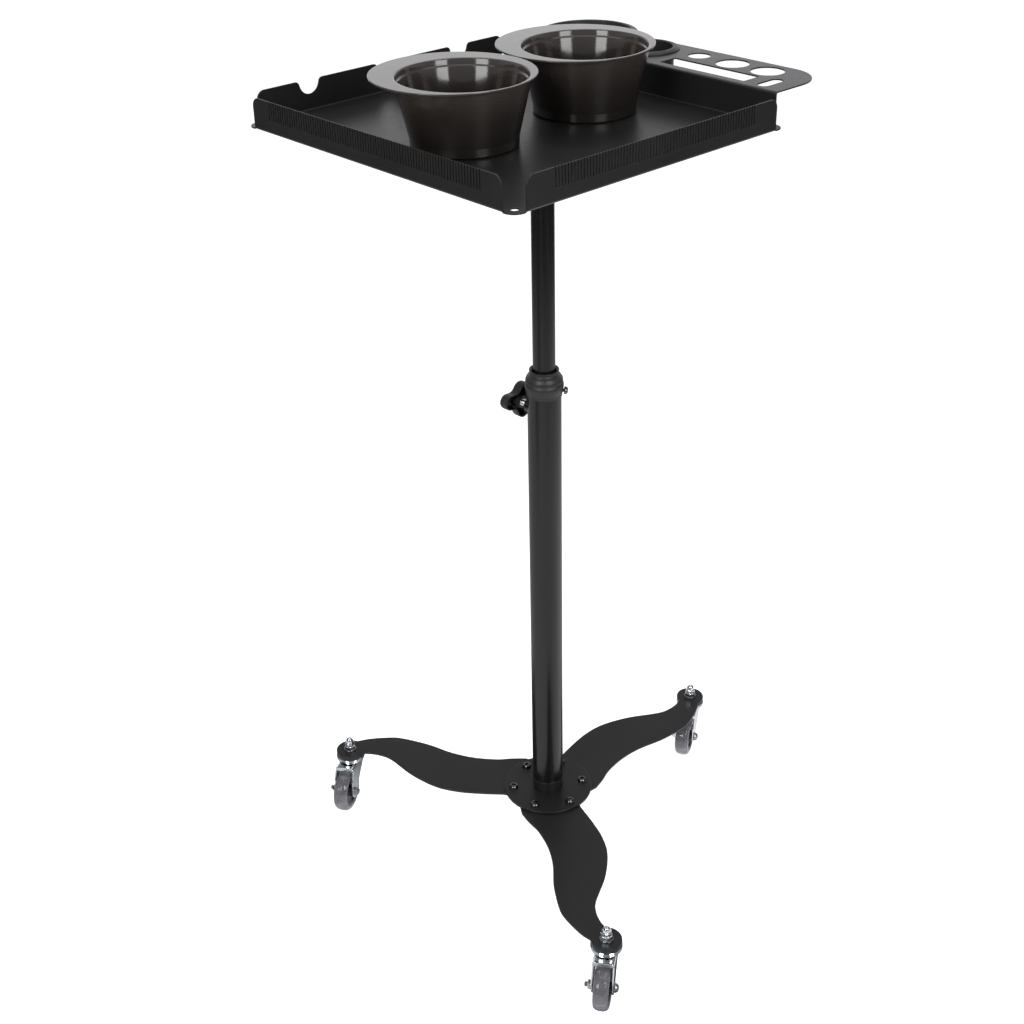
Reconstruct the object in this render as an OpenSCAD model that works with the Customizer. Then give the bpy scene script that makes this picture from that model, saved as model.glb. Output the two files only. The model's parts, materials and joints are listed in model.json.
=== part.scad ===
// Rolling salon trolley: a square pressed tray with a tool shelf and two tint bowls,
// on a telescopic post that stands on three flat curved legs with swivel casters.
// Millimetres, +Z up. The origin is on the floor, on the axis of the post.
// +X points along leg 1, to the side of the tool shelf.

/* [Tray] */
// Outside size of the tray across the shelf direction
tray_x = 360; // [340:1:400]
// Outside size of the tray along the shelf
tray_y = 392; // [380:1:430]
// Height of the tray's underside above the floor
tray_z = 935; // [900:1:960]
// Height of the tray walls, with the floor
wall_h = 32; // [28:1:40]
// Thickness of the sheet steel
sheet = 1.5; // [1.2:0.1:2]
// Distance from a virtual corner to the end of a wall
wall_gap = 15; // [13:1:20]
// Distance of the post axis from the tray centre, towards the shelf
post_shift = 40; // [30:1:50]

/* [Comb edges] */
// Distance from one comb slot to the next
comb_pitch = 3.8; // [3.4:0.1:5]
// Width of a comb slot
comb_w = 1.4; // [1:0.1:1.8]
// Depth of a comb slot
comb_d = 19; // [12:1:20]
// Length of the comb on the long side wall
comb_side_len = 312; // [200:1:330]
// Length of the comb on the front wall
comb_front_len = 268; // [200:1:290]

/* [Notched wall] */
// Distance between the tint brush notches
notch_pitch = 101; // [90:1:110]
// Radius of the notch bottom
notch_r = 12; // [8:1:14]
// Radius of the flared notch lips
lip_r = 5; // [3:1:6]

/* [Tool shelf] */
// Width of the shelf
shelf_w = 82; // [80:1:95]
// Height of the shelf's top face above the tray's underside
shelf_h = 33; // [30:1:45]
// Radius of the shelf's free corner
shelf_corner_r = 42; // [20:1:50]
// Outside radius of the shelf around the dryer holder
dryer_rim_r = 56.4; // [55:0.1:60]
// Inside radius of the dryer holder
dryer_r = 48; // [40:0.5:49]
// Inside radius of the tool cup
cup_r = 28.6; // [24:0.1:29]
// Radius of the two large tool holes
hole_large_r = 17.5; // [14:0.5:18]
// Radius of the small tool hole
hole_small_r = 12; // [8:0.5:14]

/* [Bowls] */
// Radius of the bowl's foot
bowl_foot_r = 52.4; // [48:0.1:54]
// Inside radius of the bowl's mouth
bowl_mouth_r = 63.3; // [60:0.1:66]
// Radius of the flat rim
bowl_rim_r = 80.2; // [76:0.1:80.5]
// Offset of the rim from the bowl's axis
bowl_rim_shift = 13.5; // [8:0.5:15]
// Height of a bowl
bowl_h = 65.5; // [60:0.5:75]

/* [Post] */
// Outside diameter of the outer tube
outer_d = 38; // [38:1:38]
// Outside diameter of the inner tube
inner_d = 25; // [25:1:25]
// Wall of both tubes
tube_wall = 1.5; // [1.2:0.1:1.5]
// Height of the top end of the outer tube
outer_top = 650; // [600:1:680]
// Height of the lower end of the inner tube
inner_low = 370; // [300:1:420]
// Height of the clamp knob's axis
clamp_z = 610; // [560:1:611]
// Direction of the clamp knob around the post
clamp_az = 92; // [80:1:130]

/* [Base] */
// Height of the top face of the legs
leg_z = 78; // [70:1:90]
// Thickness of the legs and of the hub plate
plate_t = 3; // [2.5:0.5:3]
// Radius of the hub plate
hub_r = 55.5; // [54:0.5:60]
// Radius of the circle of hub bolts
hub_bolt_r = 44; // [42:1:46]
// Distance of a caster stem from the post axis
caster_r = 272.5; // [260:0.5:300]
// Radius of the round pad at a leg's tip
pad_r = 18; // [17:0.5:20]

/* [Casters] */
// Radius of a caster wheel
wheel_r = 27.5; // [25:0.5:27.5]
// Distance of the wheel axle from the swivel axis
trail = 23.3; // [20:0.1:26]
// Width of a tyre
tyre_w = 18; // [17:0.5:18.5]

/* [Hidden] */
$fn = 96;
BLACK = [0.09, 0.09, 0.10];
TUBE_BLACK = [0.12, 0.12, 0.13];
PLASTIC = [0.05, 0.05, 0.055];
CHROME = [0.80, 0.81, 0.83];
ZINC = [0.66, 0.68, 0.70];
SMOKE = [0.25, 0.21, 0.19, 0.75];
GREY_TYRE = [0.45, 0.46, 0.48];

CASTERS = [1, 2, 3];
leg_angle = [0, 120, 240];
caster_yaw = [-151, -149, -144];

fit_gap = 0.1;
stud_r = 33;
hub_bolt_turn = 24.5;
ear_hole_r = 4;
stem_r = 4;
core_r = 20;
fork_gap = 11;
screw_end = 44;
fork_t = 1.9;
crown_front = 24.6;
outer_r = outer_d / 2;
outer_bore = outer_r - tube_wall;
inner_r = inner_d / 2;
hub_top = leg_z + plate_t;
socket_top = hub_top + 16;
spigot_top = socket_top + 28;
plug_top = spigot_top + 16;
floor_top = tray_z + sheet;
shelf_top = tray_z + shelf_h;
x_lo = -tray_x / 2 - post_shift;
x_hi = tray_x / 2 - post_shift;
y_hi = tray_y / 2;
ear_r = 11.5;
shelf_x = x_hi + shelf_w;
shelf_y = y_hi - 13;
hole_x = x_hi + 56;
dryer_pos = [hole_x - 1, 128];
cup_pos = [hole_x - 12, 30];
large_holes_y = [-126, -80];
small_hole_pos = [hole_x + 2, -33];
collar_top = outer_top + 11.5;
flange_z = tray_z - plate_t;

// ---- helpers ----

// Uniform cubic through p1 and p2, with p0 and p3 as neighbours
function blend(p0, p1, p2, p3, t) =
    0.5 * (2 * p1 + (p2 - p0) * t + (2 * p0 - 5 * p1 + 4 * p2 - p3) * t * t
    + (3 * p1 - p0 - 3 * p2 + p3) * t * t * t);

// Smooth curve through a list of points, steps points a span
function curve(pts, steps) = [
    for (i = [0 : len(pts) - 2], j = [0 : steps - 1])
        blend(pts[max(i - 1, 0)], pts[i], pts[i + 1], pts[min(i + 2, len(pts) - 1)], j / steps),
    pts[len(pts) - 1]];

module hex(across, h) {
    cylinder(d = across / cos(30), h = h, $fn = 6);
}

module ring(r_out, r_in, h) {
    difference() {
        cylinder(r = r_out, h = h);
        translate([0, 0, -1]) cylinder(r = r_in, h = h + 2);
    }
}

// Places its children on the clamp axis: local +Z points out of the post
module on_clamp_axis() {
    translate([0, 0, clamp_z]) rotate([0, 0, clamp_az]) rotate([0, 90, 0]) children();
}

// Places its children at a leg's caster stem, unturned
module at_stem(i) {
    rotate([0, 0, leg_angle[i - 1]]) translate([caster_r, 0, 0])
        rotate([0, 0, -leg_angle[i - 1]]) children();
}

// Places its children at a caster, turned so that local +X is its trail
module at_caster(i) {
    at_stem(i) rotate([0, 0, caster_yaw[i - 1]]) children();
}

// Places its children on a caster's axle: local +Z lies along the axle
module on_axle(i) {
    at_caster(i) translate([trail, 0, wheel_r]) rotate([-90, 0, 0]) children();
}

// ---- base ----

// Places its children on each of the six hub bolts
module at_hub_bolts() {
    for (k = [0 : 5]) rotate([0, 0, hub_bolt_turn + 60 * k]) translate([hub_bolt_r, 0, 0]) children();
}

module hub_holes(r) {
    at_hub_bolts() cylinder(r = r, h = 200);
}

// Steel disc with a welded socket ring and a spigot for the post
module hub_plate() {
    color(BLACK) difference() {
        union() {
            translate([0, 0, leg_z]) cylinder(r = hub_r, h = plate_t);
            translate([0, 0, hub_top]) cylinder(r = outer_r, h = socket_top - hub_top);
            translate([0, 0, hub_top]) cylinder(r = outer_bore, h = spigot_top - hub_top);
        }
        translate([0, 0, socket_top - 10]) cylinder(r = outer_bore - 2.5, h = 100);
        cylinder(r = 5.25, h = 200);
        hub_holes(3.2);
    }
}

// One flat leg, lying along +X, with its root under the hub plate and a round pad at its tip
module leg_blank() {
    upper = curve([[50, 30], [80, 36.8], [110, 41.2], [140, 39.2], [176, 26], [212, 4.8],
        [230, 0.1], [246, 1], [256, 5], [266, 13]], 6);
    lower = curve([[279, -11], [267, -19.5], [254, -27.5], [230, -37], [212, -39.8], [176, -37],
        [140, -29.2], [110, -27.6], [80, -32], [60, -39.5], [43, -44.5]], 6);
    difference() {
        union() {
            linear_extrude(plate_t)
                polygon(concat([[8, 0], [24, 30]], upper, [[caster_r, 0]], lower, [[30, -43.5]]));
            translate([caster_r, 0, 0]) cylinder(r = pad_r, h = plate_t);
        }
        translate([0, 0, -1]) cylinder(r = 15, h = plate_t + 2);
    }
}

module leg(i) {
    color(BLACK) difference() {
        rotate([0, 0, leg_angle[i - 1]]) translate([0, 0, leg_z - plate_t]) leg_blank();
        hub_holes(3.2);
        at_stem(i) cylinder(r = stem_r + 0.2, h = 200);
    }
}

// Six button head bolts with their shanks
module hub_bolts() {
    color(BLACK) at_hub_bolts() {
        translate([0, 0, leg_z - plate_t - 7]) cylinder(r = 3, h = plate_t * 2 + 7);
        translate([0, 0, hub_top]) difference() {
            rotate_extrude()
                polygon([[0, 0], [5.7, 0], [5.7, 0.9], [5.2, 2.4], [4.2, 3.6], [3.2, 4.1], [0, 4.1]]);
            translate([0, 0, 1.9]) hex(3.8, 3);
        }
    }
}

module hub_nuts() {
    color(ZINC) at_hub_bolts() translate([0, 0, leg_z - plate_t - 5]) difference() {
        hex(10, 5);
        translate([0, 0, -1]) cylinder(r = 3, h = 8);
    }
}

// Bolt that pulls the outer tube down on to the hub plate
module post_bolt() {
    color(ZINC) {
        translate([0, 0, leg_z - 8.5]) hex(17, 6.5);
        translate([0, 0, leg_z - 2]) cylinder(r = 5, h = plug_top - leg_z - 2);
    }
}

module post_washer() {
    color(ZINC) translate([0, 0, leg_z - 2]) ring(12, 5, 2);
}

// Threaded plug welded in the foot of the outer tube
module post_plug() {
    color(ZINC) translate([0, 0, spigot_top]) ring(outer_bore, 5, plug_top - spigot_top);
}

module outer_tube() {
    color(TUBE_BLACK) difference() {
        translate([0, 0, socket_top]) ring(outer_r, outer_bore, outer_top - socket_top);
        on_clamp_axis() cylinder(r = 4.3, h = 30);
        collar_screw_axis() translate([0, 0, 10]) cylinder(r = 2, h = 20);
    }
}

// ---- collar and clamp ----

module collar_screw_axis() {
    translate([0, 0, outer_top - 13]) rotate([0, 0, -52]) rotate([0, 90, 0]) children();
}

// Moulded guide collar over the top end of the outer tube
module collar() {
    bore = inner_r + fit_gap;
    skirt = outer_top - 19;
    color(PLASTIC) difference() {
        rotate_extrude() polygon([[bore, skirt - 4], [outer_bore, skirt - 4], [outer_bore, outer_top],
            [outer_r, outer_top], [outer_r, skirt], [outer_r + 0.9, skirt], [outer_r + 1.2, skirt + 4],
            [21.0, skirt + 7], [21.7, skirt + 11], [21.6, skirt + 14], [20.6, skirt + 16.4],
            [20.9, skirt + 17.6], [20.5, skirt + 20.4], [18.6, skirt + 23.6], [16.4, skirt + 26],
            [15.8, skirt + 27], [16.2, skirt + 28.6], [16.7, skirt + 29.5], [16.5, collar_top],
            [14.6, collar_top], [bore, skirt + 26.4]]);
        collar_screw_axis() translate([0, 0, 10]) cylinder(r = 2, h = 20);
    }
}

// Pan head screw that holds the collar to the tube
module collar_screw() {
    color(CHROME) collar_screw_axis() {
        translate([0, 0, 17.6]) cylinder(r = 2, h = 5);
        translate([0, 0, 22.2]) difference() {
            rotate_extrude() polygon([[0, 0], [4.5, 0], [4.5, 1.6], [3.4, 3.2], [1.6, 3.8], [0, 3.9]]);
            translate([-5, -0.5, 2.4]) cube([10, 1, 3]);
        }
    }
}

// Threaded boss welded on the outer tube
module clamp_boss() {
    color(TUBE_BLACK) difference() {
        on_clamp_axis() translate([0, 0, outer_r - 4]) ring(8, 4.05, 10);
        translate([0, 0, clamp_z - 20]) cylinder(r = outer_r, h = 40);
    }
}

module pressure_pad() {
    color([0.85, 0.84, 0.80]) on_clamp_axis() translate([0, 0, inner_r + 0.3]) cylinder(r = 3.95, h = 3);
}

module clamp_screw() {
    color(CHROME) on_clamp_axis() translate([0, 0, inner_r + 3.3]) cylinder(r = 3.95, h = screw_end - inner_r - 3.3);
}

// Outline of the three-lobed knob
module knob_outline() {
    lobe = 14;
    lobe_end = 8.6;
    difference() {
        union() {
            circle(r = 13);
            for (k = [0 : 2]) rotate([0, 0, 120 * k]) {
                translate([lobe, 0]) circle(r = lobe_end);
                polygon([[0, -12], [lobe, -lobe_end], [lobe, lobe_end], [0, 12]]);
            }
        }
        for (k = [0 : 2]) rotate([0, 0, 60 + 120 * k]) translate([25, 0]) circle(r = 13.2);
    }
}

// Three-lobed hand knob, hollow at the back round a central hub
module clamp_knob() {
    back = 37.4;
    color(PLASTIC) on_clamp_axis() rotate([0, 0, 98]) translate([0, 0, back]) difference() {
        union() {
            difference() {
                union() {
                    linear_extrude(10) knob_outline();
                    translate([0, 0, 10]) linear_extrude(2) scale(0.93) knob_outline();
                }
                translate([0, 0, -1]) linear_extrude(10) scale(0.84) knob_outline();
            }
            translate([0, 0, -3]) cylinder(r = 7.2, h = 13);
        }
        translate([0, 0, -4]) cylinder(r = 3.95, h = screw_end - back + 4);
    }
}

// ---- moving post ----

// Nylon foot that guides the inner tube and lets it turn
module glide_bush() {
    color([0.80, 0.80, 0.78]) translate([0, 0, inner_low - 6]) difference() {
        cylinder(r = outer_bore - fit_gap, h = 36);
        translate([0, 0, 6]) cylinder(r = inner_r + fit_gap, h = 40);
        translate([0, 0, -1]) cylinder(r = 5, h = 10);
    }
}

module inner_tube() {
    color(TUBE_BLACK) translate([0, 0, inner_low + fit_gap])
        ring(inner_r, inner_r - tube_wall, flange_z - inner_low - fit_gap);
}

// ---- tray fixing ----

module at_studs() {
    for (k = [0 : 3]) rotate([0, 0, 45 + 90 * k]) translate([stud_r, 0, 0]) children();
}

// Disc with a socket, under the tray
module tray_flange() {
    color(BLACK) difference() {
        union() {
            translate([0, 0, flange_z]) cylinder(r = 45, h = plate_t);
            translate([0, 0, flange_z - 45]) ring(inner_r + 3, inner_r, 45);
        }
        at_studs() translate([0, 0, flange_z - 10]) cylinder(r = 2.7, h = 30);
        translate([0, 0, flange_z - 32]) rotate([0, 90, 0]) cylinder(r = 3, h = 30);
    }
}

module flange_set_screw() {
    color(ZINC) translate([0, 0, flange_z - 32]) rotate([0, 90, 0])
        translate([0, 0, inner_r]) difference() {
            cylinder(r = 3, h = 5.5);
            translate([0, 0, 3]) hex(3, 4);
        }
}

module tray_studs() {
    color(ZINC) at_studs() translate([0, 0, flange_z - 9]) cylinder(r = 2.5, h = 9 + plate_t);
}

module flange_nuts() {
    color(ZINC) at_studs() translate([0, 0, flange_z - 4.5]) difference() {
        hex(8, 4.5);
        translate([0, 0, -1]) cylinder(r = 2.5, h = 8);
    }
}

// ---- tray ----

// Upright wall outline with round top corners, starting at the origin
module wall_outline(length, h, r = 9) {
    square([length, h - r]);
    translate([r, 0]) square([length - 2 * r, h]);
    for (x = [r, length - r]) translate([x, h - r]) circle(r = r);
}

// Wall outline with comb slots cut down from its top edge
module comb_outline(length, comb_len, h) {
    slots = floor(comb_len / comb_pitch);
    first = (length - (slots - 1) * comb_pitch - comb_w) / 2;
    difference() {
        wall_outline(length, h);
        for (k = [0 : slots - 1])
            translate([first + k * comb_pitch, h - comb_d]) square([comb_w, comb_d + 1]);
    }
}

// One brush notch with flared lips, centred on x = 0 with the wall's top edge at y = 0
module notch_outline() {
    drop = 2.5;
    half = notch_r + lip_r;
    translate([0, -drop]) circle(r = notch_r);
    translate([-notch_r, -drop]) square([2 * notch_r, drop + 1]);
    difference() {
        translate([-half, -lip_r]) square([2 * half, lip_r + 1]);
        for (s = [-1, 1]) translate([s * half, -lip_r]) circle(r = lip_r);
    }
}

module notched_outline(length, h) {
    difference() {
        wall_outline(length, h);
        for (k = [-1 : 1]) translate([length / 2 + k * notch_pitch, h]) notch_outline();
    }
}

// Stands a wall outline up along +X, with its thickness towards +Y
module stand() {
    translate([0, sheet, 0]) rotate([90, 0, 0]) linear_extrude(sheet) children();
}

// Shelf outline: straight edge, one free corner and a round end for the dryer holder
module shelf_outline() {
    blend_r = 60;
    cy = dryer_pos[1];
    dx = shelf_x + blend_r - dryer_pos[0];
    dy = sqrt(pow(dryer_rim_r + blend_r, 2) - dx * dx);
    k = dryer_rim_r / (dryer_rim_r + blend_r);
    inner_x = x_hi - sheet;
    difference() {
        union() {
            translate([inner_x, -shelf_y]) square([shelf_w + sheet - shelf_corner_r, 2 * shelf_y]);
            translate([inner_x, -shelf_y + shelf_corner_r])
                square([shelf_w + sheet, cy + shelf_y - shelf_corner_r]);
            translate([shelf_x - shelf_corner_r, -shelf_y + shelf_corner_r]) circle(r = shelf_corner_r);
            translate(dryer_pos) circle(r = dryer_rim_r);
            difference() {
                polygon([[shelf_x - 1, cy - dy], [shelf_x, cy - dy],
                    [dryer_pos[0] + dx * k, cy - dy * k], dryer_pos]);
                translate([shelf_x + blend_r, cy - dy]) circle(r = blend_r);
            }
        }
        shelf_holes();
    }
}

module shelf_holes() {
    translate(dryer_pos) circle(r = dryer_r + 1.5);
    translate(cup_pos) circle(r = cup_r + 1.5);
    for (y = large_holes_y) translate([hole_x, y]) circle(r = hole_large_r);
    translate(small_hole_pos) circle(r = hole_small_r);
    translate([x_hi + 10, -133]) square([24, 112]);
    translate([x_hi + 13, -156]) for (x = [0, 20]) translate([x, 0]) circle(r = 6.5);
    translate([x_hi + 13, -162.5]) square([20, 13]);
}

// One folded sheet: floor with eared corners, four walls and the tool shelf
module tray_pan() {
    len_x = tray_x - 2 * wall_gap;
    len_y = tray_y - 2 * wall_gap;
    color(BLACK) {
        translate([0, 0, tray_z]) difference() {
            union() {
                translate([x_lo + ear_r, -y_hi, 0]) cube([tray_x - 2 * ear_r, tray_y, sheet]);
                translate([x_lo, -y_hi + ear_r, 0]) cube([tray_x, tray_y - 2 * ear_r, sheet]);
                at_ears() cylinder(r = ear_r, h = sheet);
            }
            at_ears() translate([0, 0, -1]) cylinder(r = ear_hole_r, h = 5);
        }
        translate([x_lo + wall_gap, -y_hi, tray_z]) stand() comb_outline(len_x, comb_front_len, wall_h);
        translate([x_lo, y_hi - wall_gap, tray_z]) rotate([0, 0, -90]) stand()
            comb_outline(len_y, comb_side_len, wall_h);
        translate([x_lo + wall_gap, y_hi - sheet, tray_z]) stand() notched_outline(len_x, wall_h);
        translate([x_hi - sheet, -shelf_y, tray_z]) cube([sheet, 2 * shelf_y, shelf_h]);
        translate([0, 0, shelf_top - sheet]) linear_extrude(sheet) shelf_outline();
    }
}

module at_ears() {
    for (x = [x_lo + ear_r, x_hi - ear_r], y = [-y_hi + ear_r, y_hi - ear_r])
        translate([x, y, 0]) children();
}

// Flanged sleeve that drops into a shelf hole: a domed lip on top and a straight skirt below
module sleeve(r, lip, depth) {
    rotate_extrude() polygon([[r, -depth], [r + 1.4, -depth], [r + 1.4, 0], [r + lip, 0],
        [r + lip, 1.2], [r + lip - 1.5, 2.1], [r + lip * 0.45, 2.9], [r + 1, 3], [r, 2.6]]);
}

module tool_cup() {
    color(PLASTIC) translate([cup_pos[0], cup_pos[1], shelf_top]) sleeve(cup_r, 7.4, 42);
}

module dryer_ring() {
    color(PLASTIC) translate([dryer_pos[0], dryer_pos[1], shelf_top]) sleeve(dryer_r, 7.4, 42);
}

// ---- bowls ----

// Tint bowl on its own axis: stepped foot, flared body and a wide flat rim set off centre
module bowl() {
    step_z = 11;
    rim_t = 2;
    mouth = bowl_mouth_r;
    foot = bowl_foot_r;
    color(SMOKE) {
        rotate_extrude() polygon([[0, 1], [foot - 8, 1], [foot - 7, 0], [foot - 1.5, 0], [foot, 1.5],
            [foot + 0.4, step_z - 1.5], [foot + 0.9, step_z], [mouth + 0.6, bowl_h - 8],
            [mouth + 1.8, bowl_h - rim_t], [mouth + 2.4, bowl_h - rim_t], [mouth + 2.4, bowl_h],
            [mouth, bowl_h], [mouth - 0.7, bowl_h - 5.5], [mouth - 2.2, bowl_h - 7],
            [foot - 1.2, step_z + 1], [foot - 1.8, step_z - 1], [foot - 2.2, 4.5], [foot - 4, 3], [0, 3]]);
        translate([0, 0, bowl_h - rim_t]) difference() {
            translate([0, bowl_rim_shift, 0]) cylinder(r = bowl_rim_r, h = rim_t);
            translate([0, 0, -1]) cylinder(r = mouth + 2, h = rim_t + 2);
        }
    }
}

module bowl_1() {
    translate([-113, -12, floor_top]) bowl();
}

module bowl_2() {
    translate([49, -11.5, floor_top]) bowl();
}

// ---- casters ----

module caster_washers() {
    color(ZINC) for (i = CASTERS) at_stem(i) translate([0, 0, leg_z]) ring(8, stem_r, 1.5);
}

module caster_nuts() {
    color(CHROME) for (i = CASTERS) at_stem(i) translate([0, 0, leg_z + 1.5]) rotate([0, 0, 10 * i])
        difference() {
            hex(13, 6);
            translate([0, 0, -1]) cylinder(r = stem_r, h = 8);
        }
}

// Domed cap nut over the end of a stem
module caster_domes() {
    color(CHROME) for (i = CASTERS) at_stem(i) translate([0, 0, leg_z + 7.5]) difference() {
        union() {
            rotate([0, 0, 25 * i]) hex(11, 4.2);
            translate([0, 0, 4.2]) cylinder(r = 4.7, h = 1.9);
            translate([0, 0, 6.1]) intersection() {
                sphere(r = 4.7);
                cylinder(r = 6, h = 6);
            }
        }
        translate([0, 0, -1]) cylinder(r = stem_r, h = 7);
    }
}

// Threaded stem with the round head that carries the fork
module stem(i) {
    color(ZINC) at_stem(i) {
        translate([0, 0, 59]) cylinder(r = 9, h = 2.7);
        translate([0, 0, 61.7]) cylinder(r = stem_r, h = leg_z + 13.5 - 61.7);
    }
}

// Pressed upper ball race
module race(i) {
    color(CHROME) at_stem(i) translate([0, 0, leg_z - plate_t]) rotate_extrude()
        polygon([[stem_r, 0], [17.8, 0], [17.8, -3.9], [18.5, -4.5], [18.5, -8.4], [17.2, -9], [16.9, -9],
            [16.9, -4.2], [16.2, -3.5], [stem_r, -3.5]]);
}

module balls(i) {
    color(ZINC) at_caster(i) for (k = [0 : 9])
        rotate([0, 0, 36 * k]) translate([13, 0, leg_z - plate_t - 5.95]) sphere(r = 2.4, $fn = 32);
}

// Side view of a fork arm, from the crown down to the axle
module arm_outline() {
    translate([trail, wheel_r]) circle(r = 8.5);
    polygon(concat(curve([[trail - 8.4, wheel_r - 1.5], [5, 40], [-7, 53], [-13.8, 62.6]], 5),
        [[-13.8, 64], [crown_front, 64]],
        curve([[crown_front, 58], [28, 50], [31, 41], [trail + 8.4, wheel_r + 1.5]], 5)));
}

// Pressed fork: a crown that reaches out over the wheel, its front lip, and two arms
module fork(i) {
    gap = fork_gap;
    t = fork_t;
    crown_low = 62;
    color(CHROME) at_caster(i) difference() {
        union() {
            for (y = [-gap - t, gap]) translate([0, y + t, 0]) rotate([90, 0, 0])
                linear_extrude(t) arm_outline();
            translate([-13.8, -gap - t, crown_low]) cube([crown_front + 13.8, 2 * (gap + t), 2]);
            translate([crown_front - t, -gap - t, 58]) cube([t, 2 * (gap + t), 6]);
            translate([0, 0, crown_low]) cylinder(r = 16.4, h = 2);
            translate([0, 0, crown_low + 2]) cylinder(r = 15.6, h = 2.6);
        }
        translate([0, 0, crown_low - 1]) cylinder(r = stem_r + 0.6, h = 10);
        translate([trail, 30, wheel_r]) rotate([90, 0, 0]) cylinder(r = 3, h = 60);
    }
}

// Axle bolt: a domed head on the local +Z side, and a threaded end that stands out of the nut
module axle_bolt(i) {
    out = fork_gap + fork_t;
    color(ZINC) on_axle(i) {
        translate([0, 0, -out - 8.2]) cylinder(r = 2.6, h = 2.8);
        translate([0, 0, -out - 5.4]) cylinder(r = 3, h = 2 * out + 5.4);
        translate([0, 0, out]) rotate_extrude()
            polygon([[0, 0], [5.6, 0], [5.6, 1.4], [5, 3.2], [3.4, 4.6], [1.6, 5.1], [0, 5.2]]);
    }
}

module axle_nut(i) {
    color(CHROME) on_axle(i) translate([0, 0, -fork_gap - fork_t - 4.6]) difference() {
        union() {
            translate([0, 0, 3.6]) cylinder(r = 5.9, h = 1);
            hex(10, 3.6);
        }
        translate([0, 0, -1]) cylinder(r = 3, h = 8);
    }
}

// Hard wheel centre with its hub
module wheel_core(i) {
    color(PLASTIC) on_axle(i) rotate_extrude()
        polygon([[3.1, -10.6], [7.5, -10.6], [8, -6.5], [15.5, -6], [17, -7.8], [core_r, -7.8],
            [core_r, 7.8], [17, 7.8], [15.5, 6], [8, 6.5], [7.5, 10.6], [3.1, 10.6]]);
}

module tyre(i) {
    w = tyre_w / 2;
    color(GREY_TYRE) on_axle(i) rotate_extrude()
        polygon([[core_r, -w + 1], [core_r + 1.2, -w], [wheel_r - 4.2, -w], [wheel_r - 2.2, -w + 1.2],
            [wheel_r - 0.7, -w + 3.4], [wheel_r, -w + 6.6], [wheel_r, w - 6.6], [wheel_r - 0.7, w - 3.4],
            [wheel_r - 2.2, w - 1.2], [wheel_r - 4.2, w], [core_r + 1.2, w], [core_r, w - 1]]);
}

// ---- nodes ----

hub_plate();
hub_bolts();
hub_nuts();
post_bolt();
post_washer();
post_plug();
outer_tube();
collar();
collar_screw();
clamp_boss();
pressure_pad();
clamp_screw();
clamp_knob();
glide_bush();
inner_tube();
tray_flange();
flange_set_screw();
tray_studs();
flange_nuts();
tray_pan();
tool_cup();
dryer_ring();
bowl_1();
bowl_2();
caster_washers();
caster_nuts();
caster_domes();
for (i = CASTERS) {
    leg(i);
    stem(i);
    race(i);
    balls(i);
    fork(i);
    axle_bolt(i);
    axle_nut(i);
    wheel_core(i);
    tyre(i);
}
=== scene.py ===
"""Looks of the rolling salon trolley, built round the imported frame. Lengths are in millimetres until
a mesh is finished, and then in metres: floor at z = 0, post on the z axis, tool shelf towards +X."""
import json
import math

import bmesh
import bpy
from mathutils import Matrix, Vector


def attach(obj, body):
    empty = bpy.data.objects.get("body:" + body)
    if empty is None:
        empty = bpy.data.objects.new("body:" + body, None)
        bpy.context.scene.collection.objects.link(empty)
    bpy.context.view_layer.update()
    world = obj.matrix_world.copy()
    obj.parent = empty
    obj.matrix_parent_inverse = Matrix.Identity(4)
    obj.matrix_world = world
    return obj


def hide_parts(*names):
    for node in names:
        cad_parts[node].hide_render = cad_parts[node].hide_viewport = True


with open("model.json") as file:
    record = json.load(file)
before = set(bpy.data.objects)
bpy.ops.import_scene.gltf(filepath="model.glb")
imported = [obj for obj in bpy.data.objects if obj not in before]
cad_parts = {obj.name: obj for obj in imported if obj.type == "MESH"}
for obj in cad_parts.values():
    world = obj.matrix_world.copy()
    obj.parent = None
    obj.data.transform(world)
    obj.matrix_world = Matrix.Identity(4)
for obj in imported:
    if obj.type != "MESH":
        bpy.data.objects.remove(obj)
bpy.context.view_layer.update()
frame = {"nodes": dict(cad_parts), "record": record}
BODY_OF = {n: b for b, nodes in frame["record"]["behaviour"]["bodies"].items() for n in nodes}
SLOT_OF = {s["node"]: s["material_slot"] for s in frame["record"]["subparts"]}
MM = 0.001
TAU = 2 * math.pi

# ---------------------------------------------------------------- camera

CAMERA_AT = (-1.0535, -1.1044, 1.3623)
HEADING, PITCH, ROLL = math.radians(47.79), math.radians(29.97), -0.022
LENS, SENSOR = 54.0, 36.0


def linked(name, data):
    """A new object in the scene."""
    ob = bpy.data.objects.new(name, data)
    bpy.context.scene.collection.objects.link(ob)
    return ob


def make_camera():
    """A camera at the photograph's place, by its heading, its pitch below level and its roll."""
    data = bpy.data.cameras.new("camera")
    data.lens, data.sensor_width = LENS, SENSOR
    cam = linked("camera", data)
    level = Vector((math.cos(HEADING), math.sin(HEADING), 0))
    fwd = math.cos(PITCH) * level - Vector((0, 0, math.sin(PITCH)))
    right = Vector((math.sin(HEADING), -math.cos(HEADING), 0))
    up = right.cross(fwd)
    x = math.cos(ROLL) * right + math.sin(ROLL) * up
    y = -math.sin(ROLL) * right + math.cos(ROLL) * up
    cam.matrix_world = Matrix.Translation(CAMERA_AT) @ Matrix((x, y, -fwd)).transposed().to_4x4()
    bpy.context.scene.camera = cam


# ---------------------------------------------------------------- mesh helpers


def as_mesh(name, bm):
    """A new mesh from a bmesh, which is freed."""
    mesh = bpy.data.meshes.new(name)
    bm.to_mesh(mesh)
    bm.free()
    return mesh


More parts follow.
